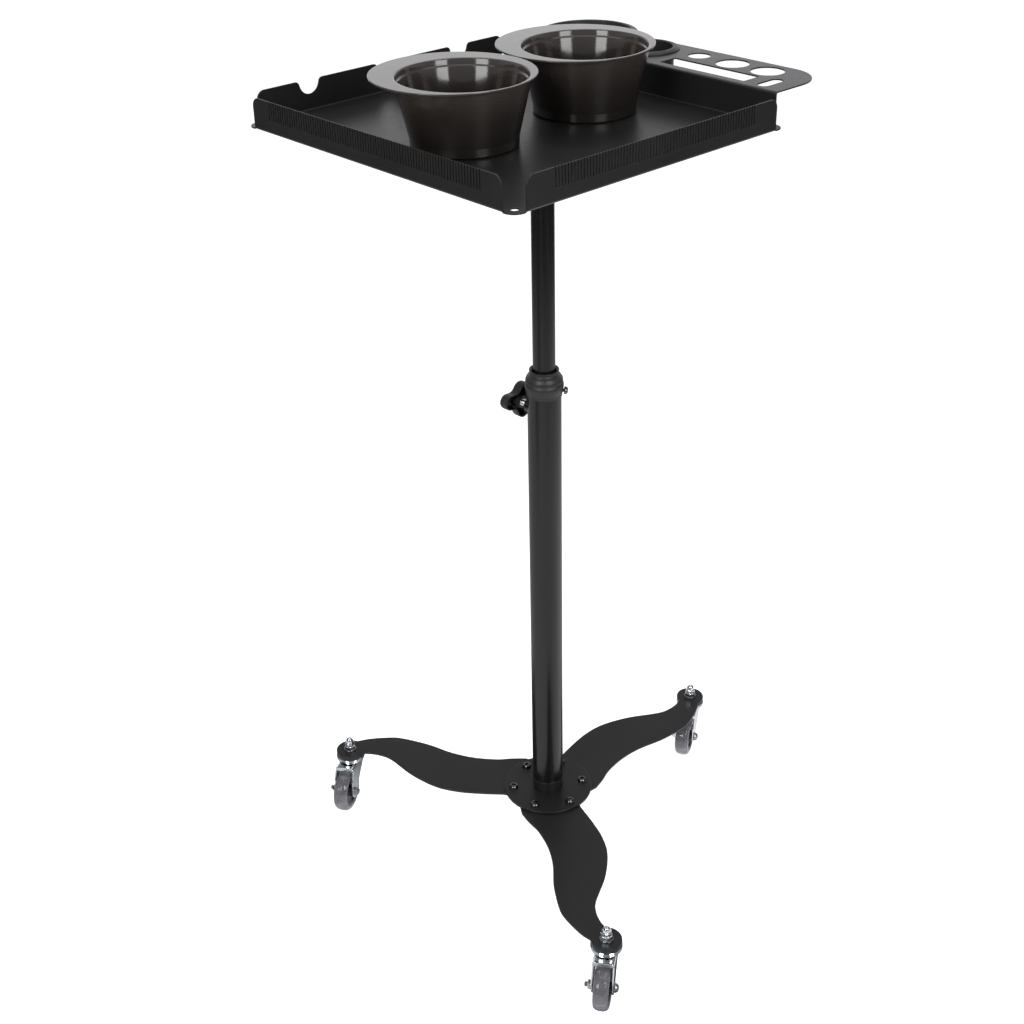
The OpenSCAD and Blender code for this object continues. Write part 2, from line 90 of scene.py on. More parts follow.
def rounded(points, radius, steps=4):
    """A closed outline with its corners rounded. Points may carry their own radius as a third number."""
    out = []
    for i, point in enumerate(points):
        r = point[2] if len(point) > 2 else radius
        p = Vector(point[:2])
        a, b = Vector(points[i - 1][:2]) - p, Vector(points[(i + 1) % len(points)][:2]) - p
        half = a.angle(b) / 2 if a.length > 1e-6 and b.length > 1e-6 else math.pi / 2
        if r <= 0 or half > math.radians(86) or abs(p.x) < 1e-6:
            out.append(tuple(p))
            continue
        cut = min(r / math.tan(half), 0.45 * a.length, 0.45 * b.length)
        start, end = p + a.normalized() * cut, p + b.normalized() * cut
        for k in range(steps + 1):
            t = k / steps
            q = (1 - t) ** 2 * start + 2 * t * (1 - t) * p + t * t * end
            out.append(tuple(q))
    return out


def hex_radius(across, turn):
    """Distance from the centre to the side of a hexagon, in the direction turn."""
    return across / 2 / math.cos((turn + math.pi / 6) % (math.pi / 3) - math.pi / 6)


def loft(rings, count=96, closed=True):
    """A skin through rings. A ring is (shape, size, z) or (shape, size, z, x, y), and shape is
    "c" for a circle's radius, "h" for a hexagon's width across flats, or a function of the angle."""
    bm = bmesh.new()
    layers = []
    for ring in rings:
        shape, size, z = ring[:3]
        cx, cy = ring[3:5] if len(ring) > 3 else (0, 0)
        if shape == "c" and size < 1e-6:
            layers.append([bm.verts.new((cx, cy, z))])
            continue
        layer = []
        for k in range(count):
            turn = TAU * k / count
            if shape == "c":
                r = size
            elif shape == "h":
                r = hex_radius(size, turn)
            else:
                r = shape(turn) + size
            layer.append(bm.verts.new((cx + r * math.cos(turn), cy + r * math.sin(turn), z)))
        layers.append(layer)
    pairs = list(zip(layers, layers[1:]))
    if closed:
        pairs.append((layers[-1], layers[0]))
    for a, b in pairs:
        if len(a) == 1 and len(b) == 1:
            continue
        for k in range(count):
            j = (k + 1) % count
            quad = [a[k % len(a)], a[j % len(a)], b[j % len(b)], b[k % len(b)]]
            quad = [v for i, v in enumerate(quad) if v not in quad[:i]]
            bm.faces.new(quad)
    bmesh.ops.recalc_face_normals(bm, faces=bm.faces)
    return bm


def lathe(profile, fillet=0.4, count=96, steps=4):
    """A turned solid from a closed profile of (radius, z)."""
    return loft([("c", r, z) for r, z in rounded(profile, fillet, steps)], count)


def plate(loops, thick, edge, steps=2):
    """A flat plate from z = 0 up to thick, with holes and round edges. The first loop is the outline."""
    cu = bpy.data.curves.new("plate", "CURVE")
    cu.dimensions, cu.fill_mode = "2D", "BOTH"
    cu.extrude, cu.bevel_depth, cu.bevel_resolution, cu.offset = thick / 2 - edge, edge, steps, -edge
    for loop in loops:
        sp = cu.splines.new("POLY")
        sp.points.add(len(loop) - 1)
        for p, q in zip(sp.points, loop):
            p.co = (q[0], q[1], 0, 1)
        sp.use_cyclic_u = True
    ob = linked("plate", cu)
    bpy.context.view_layer.update()
    mesh = bpy.data.meshes.new_from_object(ob.evaluated_get(bpy.context.evaluated_depsgraph_get()))
    bm = bmesh.new()
    bm.from_mesh(mesh)
    bpy.data.objects.remove(ob)
    bpy.data.curves.remove(cu)
    bpy.data.meshes.remove(mesh)
    bmesh.ops.remove_doubles(bm, verts=bm.verts, dist=0.002)
    bmesh.ops.translate(bm, verts=bm.verts, vec=(0, 0, thick / 2))
    bmesh.ops.recalc_face_normals(bm, faces=bm.faces)
    return bm


def ring_points(x, y, r, count=64):
    """Points on a circle."""
    return [(x + r * math.cos(TAU * k / count), y + r * math.sin(TAU * k / count)) for k in range(count)]


def arc(x, y, r, a0, a1, steps=8):
    """Points on an arc between two angles in degrees."""
    out = []
    for k in range(steps + 1):
        t = math.radians(a0 + (a1 - a0) * k / steps)
        out.append((x + r * math.cos(t), y + r * math.sin(t)))
    return out


def placed(bm, matrix):
    """The same mesh, moved."""
    bm.transform(matrix)
    return bm


def turn(degrees, axis="Z"):
    """A rotation about an axis."""
    return Matrix.Rotation(math.radians(degrees), 4, axis)


def move(x, y, z):
    """A shift."""
    return Matrix.Translation((x, y, z))


def drilled(bm, radius, place, low, high):
    """The same solid with a round hole cut along the place's Z axis, from low to high."""
    drill = bmesh.new()
    bmesh.ops.create_cone(drill, cap_ends=True, segments=48, radius1=radius, radius2=radius,
                          depth=high - low, matrix=place @ move(0, 0, (low + high) / 2))
    solid, tool = linked("solid", as_mesh("solid", bm)), linked("drill", as_mesh("drill", drill))
    cut = solid.modifiers.new("cut", "BOOLEAN")
    cut.object, cut.operation, cut.solver = tool, "DIFFERENCE", "EXACT"
    bpy.context.view_layer.update()
    done = bmesh.new()
    done.from_object(solid, bpy.context.evaluated_depsgraph_get())
    for mesh in (solid.data, tool.data):
        bpy.data.meshes.remove(mesh)
    return done


def piece(node, suffix, parts, sharp=40, slot=None):
    """One finished object from several meshes, standing for a CAD node on its body. Its material slot
    is the node's own, unless slot names another, and edges bent more than sharp degrees stay crisp."""
    name, slot = f"{node}_{suffix}", slot or SLOT_OF[node]
    whole = bmesh.new()
    for bm in parts:
        mesh = as_mesh("part", bm)
        whole.from_mesh(mesh)
        bpy.data.meshes.remove(mesh)
    whole.transform(Matrix.Scale(MM, 4))
    mesh = as_mesh(name, whole)
    mesh.shade_smooth()
    mesh.set_sharp_from_angle(angle=math.radians(sharp))
    mesh.materials.append(LOOKS[slot])
    ob = linked(name, mesh)
    ob.modifiers.new("normals", "WEIGHTED_NORMAL").keep_sharp = True
    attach(ob, BODY_OF[node])
    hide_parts(node)


# ---------------------------------------------------------------- materials


class Nodes:
    """A node tree with a few helpers."""

    def __init__(self, tree):
        self.tree = tree

    def node(self, kind, **props):
        """A new node of a kind, with its settings."""
        made = self.tree.nodes.new("ShaderNode" + kind)
        for key, value in props.items():
            setattr(made, key, value)
        return made

    def join(self, a, b):
        """Links an output to an input."""
        self.tree.links.new(a, b)

    def spread(self, value, low, high, out_low, out_high):
        """Maps a value from one range to another, and holds it there."""
        made = self.node("MapRange")
        for key, number in zip(("From Min", "From Max", "To Min", "To Max"), (low, high, out_low, out_high)):
            made.inputs[key].default_value = number
        self.join(value, made.inputs["Value"])
        return made.outputs["Result"]

    def ramp(self, value, stops):
        """Maps a value to colours through stops of (position, colour)."""
        made = self.node("ValToRGB")
        while len(made.color_ramp.elements) < len(stops):
            made.color_ramp.elements.new(0.5)
        for element, (at, colour) in zip(made.color_ramp.elements, stops):
            element.position = at
            element.color = (*colour, 1)
        self.join(value, made.inputs["Fac"])
        return made.outputs["Color"]


class Finish(Nodes):
    """A Principled material and its node tree. Texture scales are per metre."""

    def __init__(self, name, **sockets):
        self.material = bpy.data.materials.new(name)
        self.material.use_nodes = True
        super().__init__(self.material.node_tree)
        self.shader = self.tree.nodes["Principled BSDF"]
        for key, value in sockets.items():
            self.shader.inputs[key.replace("_", " ")].default_value = value
        self.where = self.node("TexCoord").outputs["Object"]

    def noise(self, scale, stretch=(1, 1, 1), detail=3.0, rough=0.55):
        """A noise value in the object's own coordinates, from 0 to 1."""
        mapping = self.node("Mapping")
        mapping.inputs["Scale"].default_value = stretch
        self.join(self.where, mapping.inputs["Vector"])
        tex = self.node("TexNoise")
        tex.inputs["Scale"].default_value = scale
        tex.inputs["Detail"].default_value = detail
        tex.inputs["Roughness"].default_value = rough
        self.join(mapping.outputs["Vector"], tex.inputs["Vector"])
        return tex.outputs["Fac"]

    def colours(self, value, stops):
        """The base colour, through stops of (position, colour)."""
        self.join(self.ramp(value, stops), self.shader.inputs["Base Color"])

    def roughness(self, value):
        """The roughness, from a value."""
        self.join(value, self.shader.inputs["Roughness"])

    def bumps(self, *layers):
        """Adds bump layers, each (height value, depth in metres)."""
        last = None
        for value, depth in layers:
            bump = self.node("Bump")
            bump.inputs["Strength"].default_value = 1.0
            bump.inputs["Distance"].default_value = depth
            self.join(value, bump.inputs["Height"])
            if last:
                self.join(last, bump.inputs["Normal"])
            last = bump.outputs["Normal"]
        self.join(last, self.shader.inputs["Normal"])


def powder_coat():
    """Fine-textured satin black powder coat."""
    f = Finish("powder_black", IOR=1.43)
    grain = f.noise(1500, detail=2)
    peel = f.noise(260, detail=3)
    cloud = f.noise(9, detail=4)
    f.colours(cloud, [(0.3, (0.0086, 0.0086, 0.0092)), (0.7, (0.012, 0.012, 0.0128))])
    f.roughness(f.spread(peel, 0.3, 0.7, 0.33, 0.39))
    f.bumps((peel, 0.000022), (grain, 0.00001))
    return f.material


def tube_lacquer():
    """Semi-gloss black lacquer with faint draw lines along the tube."""
    f = Finish("tube_black", IOR=1.45)
    lines = f.noise(420, stretch=(1, 1, 0.01), detail=3)
    cloud = f.noise(14, stretch=(1, 1, 0.25), detail=4)
    f.colours(cloud, [(0.3, (0.004, 0.0039, 0.0038)), (0.7, (0.0065, 0.0062, 0.006))])
    f.roughness(f.spread(lines, 0.35, 0.65, 0.17, 0.27))
    f.bumps((lines, 0.00003), (f.noise(900, detail=2), 0.000008))
    return f.material


def bolt_black():
    """Polished black nickel plate with brighter worn patches."""
    f = Finish("bolt_black", Metallic=1.0)
    f.colours(f.noise(300, detail=4), [(0.35, (0.1, 0.1, 0.105)), (0.75, (0.2, 0.2, 0.205))])
    f.roughness(f.spread(f.noise(700, detail=4), 0.3, 0.7, 0.1, 0.24))
    f.bumps((f.noise(1500), 0.00001))
    return f.material


def black_plastic():
    """Satin moulded plastic with a fine spark texture."""
    f = Finish("black_plastic", IOR=1.46)
    f.colours(f.noise(30, detail=4), [(0.3, (0.0105, 0.0105, 0.0108)), (0.75, (0.0145, 0.0145, 0.015))])
    f.roughness(f.spread(f.noise(120), 0.3, 0.7, 0.38, 0.5))
    f.bumps((f.noise(2200, detail=1), 0.000012), (f.noise(70), 0.00006))
    return f.material


def wheel_plastic():
    """Black plastic of the wheel centres, a little glossier."""
    f = Finish("wheel_plastic", IOR=1.46)
    f.colours(f.noise(80, detail=4), [(0.3, (0.012, 0.012, 0.014)), (0.75, (0.024, 0.024, 0.027))])
    f.roughness(f.spread(f.noise(200), 0.3, 0.7, 0.2, 0.34))
    f.bumps((f.noise(1400, detail=1), 0.00001))
    return f.material


def chrome():
    """Bright chrome with light smudges and polishing haze."""
    f = Finish("chrome", Metallic=1.0)
    f.colours(f.noise(60, detail=4), [(0.3, (0.66, 0.69, 0.72)), (0.7, (0.78, 0.81, 0.84))])
    f.roughness(f.spread(f.noise(160, detail=5), 0.35, 0.7, 0.04, 0.12))
    f.bumps((f.noise(500), 0.000006))
    return f.material


def zinc():
    """Zinc plate: dull, slightly blue and patchy."""
    f = Finish("zinc", Metallic=1.0)
    f.colours(f.noise(220, detail=4), [(0.3, (0.22, 0.23, 0.25)), (0.7, (0.42, 0.42, 0.42))])
    f.roughness(f.spread(f.noise(420, detail=4), 0.3, 0.7, 0.22, 0.4))
    f.bumps((f.noise(1300), 0.00001))
    return f.material


def smoke_plastic():
    """Smoky brown translucent plastic, polished by its mould, with painted light and shade: darker towards
    the foot and lighter towards the rim.
    """
    f = Finish("smoke_plastic", IOR=1.5, Transmission_Weight=0.15)
    split, shade = f.node("SeparateXYZ"), f.node("Math", operation="ADD")
    f.join(f.where, split.inputs["Vector"])
    # painted shade by height: the colour runs from dark at the bowl's foot to light at its rim, with a little
    # random tone added
    f.join(f.spread(split.outputs["Z"], 0.938, 1.0, 0.0, 0.85), shade.inputs[0])
    f.join(f.spread(f.noise(16), 0.3, 0.7, 0.0, 0.15), shade.inputs[1])
    f.colours(shade.outputs["Value"], [(0.0, (0.009, 0.0076, 0.0068)), (0.5, (0.017, 0.0142, 0.0128)),
                                       (1.0, (0.042, 0.0355, 0.032))])
    f.roughness(f.spread(f.noise(45, detail=5), 0.35, 0.75, 0.07, 0.15))
    f.bumps((f.noise(36, detail=1), 0.00006), (f.noise(700), 0.000005))
    return f.material


def clear_tyre():
    """Translucent grey elastomer over a dark core, glossy where the floor has polished it."""
    f = Finish("clear_tyre", IOR=1.5, Transmission_Weight=0.6)
    f.colours(f.noise(70, detail=4), [(0.3, (0.2, 0.195, 0.217)), (0.7, (0.3, 0.292, 0.32))])
    f.roughness(f.spread(f.noise(90, detail=4), 0.35, 0.7, 0.05, 0.13))
    f.bumps((f.noise(140), 0.000012))
    return f.material


def nylon():
    """Off-white nylon of the hidden glide parts."""
    f = Finish("nylon", IOR=1.53)
    f.colours(f.noise(90, detail=4), [(0.3, (0.6, 0.59, 0.55)), (0.7, (0.72, 0.71, 0.67))])
    f.roughness(f.spread(f.noise(300), 0.3, 0.7, 0.38, 0.52))
    f.bumps((f.noise(1500), 0.00002))
    return f.material


LOOKS = {
    "powder_black": powder_coat(),
    "tube_black": tube_lacquer(),
    "bolt_black": bolt_black(),
    "black_plastic": black_plastic(),
    "wheel_plastic": wheel_plastic(),
    "chrome": chrome(),
    "zinc": zinc(),
    "smoke_plastic": smoke_plastic(),
    "clear_tyre": clear_tyre(),
    "nylon": nylon(),
}


# ---------------------------------------------------------------- sizes shared by several pieces

# The CAD's own sizes: _Z, _TOP and _LOW are heights over the floor, _R radii, _BORE inner radii.
LEG_Z, PLATE, HUB_R = 78.0, 3.0, 55.5
HUB_TOP, SOCKET_TOP = 81.0, 97.0
OUTER_R, OUTER_BORE, OUTER_TOP = 19.0, 17.5, 650.0
INNER_R, INNER_LOW = 12.5, 370.1
TRAY_Z, SHEET, WALL_H, SHELF_H = 935.0, 1.5, 32.0, 33.0
X_LO, X_HI, Y_HI = -220.0, 140.0, 196.0
WALL_GAP, EAR_R = 15.0, 11.5
SHELF_X, SHELF_Y = 222.0, 183.0
CASTER_R, PAD_R, TRAIL, WHEEL_R = 272.5, 18.0, 23.3, 27.5
STEM_R, FORK_FACE, FORK_T, CROWN_X = 4.0, 12.9, 1.9, 24.4
BOLT_CIRCLE, BOLT_HOLE, STUD_CIRCLE = 44.0, 3.2, 33.0
CLAMP_Z, CLAMP_HOLE = 610.0, 4.3
LEG_ANGLE = {1: 0, 2: 120, 3: 240}
CASTER_YAW = {1: -151, 2: -149, 3: -144}
CLAMP = move(0, 0, CLAMP_Z) @ turn(92) @ turn(90, "Y")
BOWLS = {"bowl_1": (-113.0, -12.0), "bowl_2": (49.0, -11.5)}
FLANGE_Z = TRAY_Z - PLATE


def at_stem(i):
    """Where caster i's stem axis stands, with +X still towards the shelf."""
    return turn(LEG_ANGLE[i]) @ move(CASTER_R, 0, 0) @ turn(-LEG_ANGLE[i])


def at_caster(i):
    """The frame of caster i's fork, with its wheel towards +X."""
    return at_stem(i) @ turn(CASTER_YAW[i])


def on_axle(i):
    """The frame of caster i's wheel, with its axle along Z."""
    return at_caster(i) @ move(TRAIL, 0, WHEEL_R) @ turn(-90, "X")


# ---------------------------------------------------------------- fasteners


def nut(across, height, bore, chamfer=0.9):
    """A hexagon nut with chamfered corners, standing on z = 0."""
    low = across - 2 * chamfer * 0.2
    return loft(
        [("c", bore, 0.6), ("c", bore + 0.6, 0), ("c", low / 2, 0), ("h", across - 0.1, chamfer * 0.6),
         ("h", across, chamfer), ("h", across, height - chamfer), ("h", across - 0.1, height - chamfer * 0.6),
         ("c", low / 2, height), ("c", bore + 0.6, height), ("c", bore, height - 0.6)], 48)


def button_head(radius, height, across, depth):
    """A domed screw head with a hexagon socket, standing on z = 0."""
    return loft(
        [("c", 0, 0), ("c", radius - 0.3, 0), ("c", radius, 0.3), ("c", radius, height * 0.3),
         ("c", radius * 0.955, height * 0.52), ("c", radius * 0.86, height * 0.74),
         ("c", radius * 0.73, height * 0.91), ("c", radius * 0.62, height), ("h", across + 0.4, height),
         ("h", across, height - 0.25), ("h", across, height - depth),
         ("c", 0, height - depth - 0.2)], 48, closed=False)


# ---------------------------------------------------------------- base


def blend_curve(points, steps):
    """A smooth curve through points, with steps points to each span."""
    out = []
    for i in range(len(points) - 1):
        p0, p1 = Vector(points[max(i - 1, 0)]), Vector(points[i])
        p2, p3 = Vector(points[i + 1]), Vector(points[min(i + 2, len(points) - 1)])
        for j in range(steps):
            t = j / steps
            q = 0.5 * (2 * p1 + (p2 - p0) * t + (2 * p0 - 5 * p1 + 4 * p2 - p3) * t * t
                       + (3 * p1 - p0 - 3 * p2 + p3) * t ** 3)
            out.append((q.x, q.y))
    return out + [tuple(points[-1])]


def leg_outline():
    """One curved leg seen from above, pointing along +X: two long edges and the round pad."""
    upper = blend_curve([(50, 30), (80, 36.8), (110, 41.2), (140, 39.2), (176, 26), (212, 4.8), (230, 0.1),
                         (246, 1), (256, 5), (266, 13)], 8)
    lower = blend_curve([(279, -11), (267, -19.5), (254, -27.5), (230, -37), (212, -39.8), (176, -37),
                         (140, -29.2), (110, -27.6), (80, -32), (60, -39.5), (43, -44.5)], 8)
    centre = Vector((CASTER_R, 0))
    upper = [p for p in upper if (Vector(p) - centre).length > PAD_R + 0.4]
    lower = [p for p in lower if (Vector(p) - centre).length > PAD_R + 0.4]
    first = math.degrees(math.atan2(upper[-1][1], upper[-1][0] - CASTER_R))
    last = math.degrees(math.atan2(lower[0][1], lower[0][0] - CASTER_R))
    pad = arc(CASTER_R, 0, PAD_R, first - 2, last + 2, 60)
    return [(16, 8), (24, 30)] + upper + pad + lower + [(30, -43.5)]


def bolt_places():
    """Where the six hub bolts stand, two to a leg."""
    return [turn(24.5 + 60 * k) @ move(BOLT_CIRCLE, 0, 0) for k in range(6)]


def make_base():
    """The legs, the hub plate with its socket, and the bolts that hold them."""
    for i in LEG_ANGLE:
        holes = []
        for at in bolt_places():
            x, y = (turn(-LEG_ANGLE[i]) @ at).to_translation()[:2]
            if x > 30 and abs(y) < 30:
                holes.append(ring_points(x, y, BOLT_HOLE, 24))
        holes.append(ring_points(CASTER_R, 0, STEM_R + 0.2, 32))
        blade = plate([leg_outline()] + holes, PLATE, 0.55)
        piece(f"leg_{i}", "blade", [placed(blade, turn(LEG_ANGLE[i]) @ move(0, 0, LEG_Z - PLATE))])

    holes = [ring_points(*at.to_translation()[:2], BOLT_HOLE, 24) for at in bolt_places()]
    holes.append(ring_points(0, 0, 5.25, 32))
    disc = placed(plate([ring_points(0, 0, HUB_R, 160)] + holes, PLATE, 0.6), move(0, 0, LEG_Z))
    socket = lathe([(15, HUB_TOP), (OUTER_R, HUB_TOP, 0), (OUTER_R, SOCKET_TOP - 0.1, 2.2),
                    (OUTER_BORE, SOCKET_TOP - 0.1, 0), (OUTER_BORE, 125, 0.6), (15, 125, 0.4)], 0.2, 128)
    piece("hub_plate", "plate", [disc, socket])

    heads, nuts = [], []
    for k, at in enumerate(bolt_places()):
        spin = turn(17 * k)
        heads.append(placed(button_head(5.7, 4.1, 3.8, 2.2), at @ spin @ move(0, 0, HUB_TOP)))
        shank = lathe([(0, LEG_Z - 10), (3, LEG_Z - 10), (3, HUB_TOP), (0, HUB_TOP)], 0.5, 32)
        heads.append(placed(shank, at))
        nuts.append(placed(nut(10, 5, 3.02), at @ spin @ move(0, 0, LEG_Z - PLATE - 5)))
    piece("hub_bolts", "heads", heads)
    piece("hub_nuts", "hexagons", nuts)

    head = placed(nut(17, 6.5, 1.0), move(0, 0, LEG_Z - 8.5))
    shank = lathe([(0, LEG_Z - 8.3), (5, LEG_Z - 8.3), (5, 141), (0, 141)], 0.6, 48)
    piece("post_bolt", "bolt", [head, shank])
    washer = lathe([(5.05, 0), (12, 0), (12, 2), (5.05, 2)], 0.4, 64)
    piece("post_washer", "ring", [placed(washer, move(0, 0, LEG_Z - 2))])


# ---------------------------------------------------------------- post, collar and clamp


def thread(radius, pitch, low, high, depth=0.55, count=40):
    """A screw thread along z: its radius rises and falls once a pitch along a helix."""
    rows = int((high - low) / pitch * 8)
    rings = [("c", 0, low)]
    for k in range(rows + 1):
        z = low + (high - low) * k / rows
        fade = min(1.0, (z - low) / pitch, (high - z) / pitch)

        def wave(t, z=z, fade=fade):
            """The thread's radius at an angle, fading to the root at both ends."""
            phase = (z / pitch - t / TAU) % 1.0
            tooth = 1 - abs(2 * phase - 1)
            return radius - depth * (1 - tooth) * fade - (1 - fade) * depth

        rings.append((wave, 0, z))
    rings.append(("c", 0, high))
    return loft(rings, count, closed=False)


def knob_radius(turn_angle):
    """Distance from the knob's axis to its outline: three lobes with hollows between them."""
    t = (turn_angle + math.pi / 3) % (TAU / 3) - math.pi / 3
    lobe, tip, hollow_at, hollow_r = 14.0, 8.6, 25.0, 13.2
    far = 13.0
    inside = tip ** 2 - (lobe * math.sin(t)) ** 2
    if inside > 0 and abs(t) < math.pi / 2:
        far = max(far, lobe * math.cos(t) + math.sqrt(inside))
    flank = 12 / (abs(math.sin(t)) + math.cos(t) * 3.4 / 14.0)
    if flank * math.cos(t) < lobe:
        far = max(far, flank)
    side = abs(t) - math.pi / 3
    cut = hollow_r ** 2 - (hollow_at * math.sin(side)) ** 2
    if cut > 0:
        far = min(far, hollow_at * math.cos(side) - math.sqrt(cut))
    return far


def knob_outline():
    """The knob's outline as a smooth function of the angle."""
    count = 144
    raw = [knob_radius(TAU * k / count) for k in range(count)]
    for _ in range(6):
        raw = [(raw[k - 1] + 2 * raw[k] + raw[(k + 1) % count]) / 4 for k in range(count)]
    return lambda t: raw[round(t / TAU * count) % count]


def make_post():
    """The two tubes, the guide collar, and the clamp with its knob."""
    # rings just above and below the clamp's hole keep the long sides of the tube whole
    under, over = CLAMP_Z - 6, CLAMP_Z + 6
    tube = lathe([(OUTER_BORE, SOCKET_TOP), (OUTER_R, SOCKET_TOP, 1.3), (OUTER_R, under, 0),
                  (OUTER_R, over, 0), (OUTER_R, OUTER_TOP), (OUTER_BORE, OUTER_TOP), (OUTER_BORE, over, 0),
                  (OUTER_BORE, under, 0)], 0.45, 128)
    piece("outer_tube", "tube", [drilled(tube, CLAMP_HOLE, CLAMP, 0, 30)])
    inner = lathe([(INNER_R - 1.5, INNER_LOW), (INNER_R, INNER_LOW), (INNER_R, FLANGE_Z),
                   (INNER_R - 1.5, FLANGE_Z)], 0.4, 128)
    piece("inner_tube", "tube", [inner])

    bore, skirt, top = INNER_R + 0.1, OUTER_TOP - 19, OUTER_TOP + 11.5
    collar = lathe(
        [(bore, skirt - 4), (OUTER_BORE, skirt - 4), (OUTER_BORE, OUTER_TOP, 0), (OUTER_R, OUTER_TOP, 0),
         (OUTER_R, skirt, 0), (OUTER_R + 0.9, skirt, 0.5), (OUTER_R + 1.2, skirt + 4, 2),
         (21.0, skirt + 7, 2), (21.7, skirt + 11, 3), (21.6, skirt + 14, 1.6), (20.6, skirt + 16.4, 0.5),
         (20.9, skirt + 17.6, 0.9), (20.5, skirt + 20.4, 2), (18.6, skirt + 23.6, 2), (16.4, skirt + 26, 2),
         (15.8, skirt + 27, 1.5), (16.2, skirt + 28.6, 1), (16.7, skirt + 29.5, 0.6), (16.6, top, 0.3),
         (15.6, top, 0.4), (13.6, top - 1.6, 0.6), (bore, skirt + 26.4, 0.4)], 0.3, 128, 5)
    piece("collar", "moulding", [collar])

    screw_axis = move(0, 0, OUTER_TOP - 13) @ turn(-52) @ turn(90, "Y")
    screw = placed(button_head(4.5, 3.9, 2.6, 1.4), screw_axis @ move(0, 0, 22.2))
    shaft = placed(lathe([(0, 17.6), (2, 17.6), (2, 22.6), (0, 22.6)], 0.2, 24), screw_axis)
    piece("collar_screw", "head", [screw, shaft], slot="bolt_black")

    boss = lathe([(4.05, 17.2), (8, 17.2), (8.9, 18.4, 0.6), (8, 19.6, 0.8), (8, 25), (4.05, 25)], 0.6, 64)
    piece("clamp_boss", "turned", [placed(boss, CLAMP)])
    rod = thread(3.95, 1.25, INNER_R + 3.3, 44)
    piece("clamp_screw", "thread", [placed(rod, CLAMP)], sharp=75)

    outline = knob_outline()
    wall, crown = 2.4, 12.0
    rings = [(outline, -0.5, 0.0), (outline, -0.12, 0.15), (outline, 0, 0.6), (outline, 0, 8.2),
             (outline, -0.25, 9.6), (outline, -0.9, 10.8), (outline, -1.9, 11.6), (outline, -3.2, crown),
             (outline, -6.0, crown - 0.15), ("c", 5.0, crown - 0.4), ("c", 3.95, crown - 1.0),
             ("c", 3.95, -3.0), ("c", 6.8, -3.0), ("c", 7.2, -2.6), ("c", 7.2, 8.0), ("c", 7.9, 8.8),
             (outline, -wall - 1.1, 9.0), (outline, -wall - 0.3, 8.4), (outline, -wall, 7.4),
             (outline, -wall + 0.25, 0.5), (outline, -wall + 0.5, 0)]
    knob = placed(loft(rings, 144), CLAMP @ turn(98) @ move(0, 0, 37.4))
    piece("clamp_knob", "moulding", [knob], sharp=50)


# ---------------------------------------------------------------- tray

# The tray is cut as one flat sheet and then folded: the bend's inner radius, what follows from it, and
# the openings of the shelf in the folded tray's own place.
FOLD_R = 1.2
BEND_OUT = FOLD_R + SHEET
ARC_LEN = math.pi / 2 * (FOLD_R + SHEET / 2)
FLAT_SHIFT = ARC_LEN - BEND_OUT
SHELF_UP = X_HI - BEND_OUT + SHELF_H + FLAT_SHIFT - BEND_OUT
SHELF_FLAT = SHELF_UP + ARC_LEN - (X_HI + FOLD_R)
DRYER, CUP = (195.0, 128.0), (184.0, 30.0)
DRYER_RIM, SLIT = 56.4, 0.6
SHELF_HOLES = ((*DRYER, 49.5, 96), (*CUP, 30.1, 80), (196, -126, 17.5, 64), (196, -80, 17.5, 64),
               (198, -33, 12, 56))
LONG_SLOT = ((150, -133), (174, -133), (174, -21), (150, -21))
SMALL_SLOT = (153, 173), -156, 6.5
WALL_CORNER, SHELF_CORNER, SHELF_BLEND = 9, 42, 60.0


def fold(s, w, up):
    """Where a point of the flat sheet lands after a right-angle bend, up or down: s past the bend's
    start, w above the sheet's underside."""
    if s <= 0:
        return s, w
    angle = min(s / (FOLD_R + SHEET / 2), math.pi / 2)
    past = max(0.0, s - ARC_LEN)
    if up:
        r = BEND_OUT - w
        return r * math.sin(angle), BEND_OUT - r * math.cos(angle) + past
    r = w + FOLD_R
    return r * math.sin(angle), r * math.cos(angle) - FOLD_R - past


def comb_edge(start, end, comb_len, pitch=3.8, width=1.4, depth=19.0):
    """The flat wall's free edge as (along, height) points, from start to end, with comb slots."""
    length = end - start
    count = int(comb_len / pitch + 1e-6)
    first = (length - (count - 1) * pitch - width) / 2
    corner = WALL_CORNER
    out = arc(start + corner, WALL_H - corner, corner, 180, 90, 8)
    for k in range(count):
        a = start + first + k * pitch
        root = WALL_H - depth
        out += [(a, WALL_H), (a, root + 0.5), (a + 0.25, root + 0.1), (a + width - 0.25, root + 0.1),
                (a + width, root + 0.5), (a + width, WALL_H)]
    return out + arc(end - corner, WALL_H - corner, corner, 90, 0, 8)


def notch_edge(start, end, pitch=101.0, r=12.0, lip=5.0, drop=2.5):
    """The same for the wall with the three brush notches."""
    corner = WALL_CORNER
    out = arc(start + corner, WALL_H - corner, corner, 180, 90, 8)
    for k in (-1, 0, 1):
        c = (start + end) / 2 + k * pitch
        dip = math.degrees(math.asin((lip - drop) / r))
        out += arc(c - r - lip, WALL_H - lip, lip, 90, 0, 6)
        out += arc(c, WALL_H - drop, r, 180 + dip, 360 - dip, 24)
        out += arc(c + r + lip, WALL_H - lip, lip, 180, 90, 6)
    return out + arc(end - corner, WALL_H - corner, corner, 90, 0, 8)


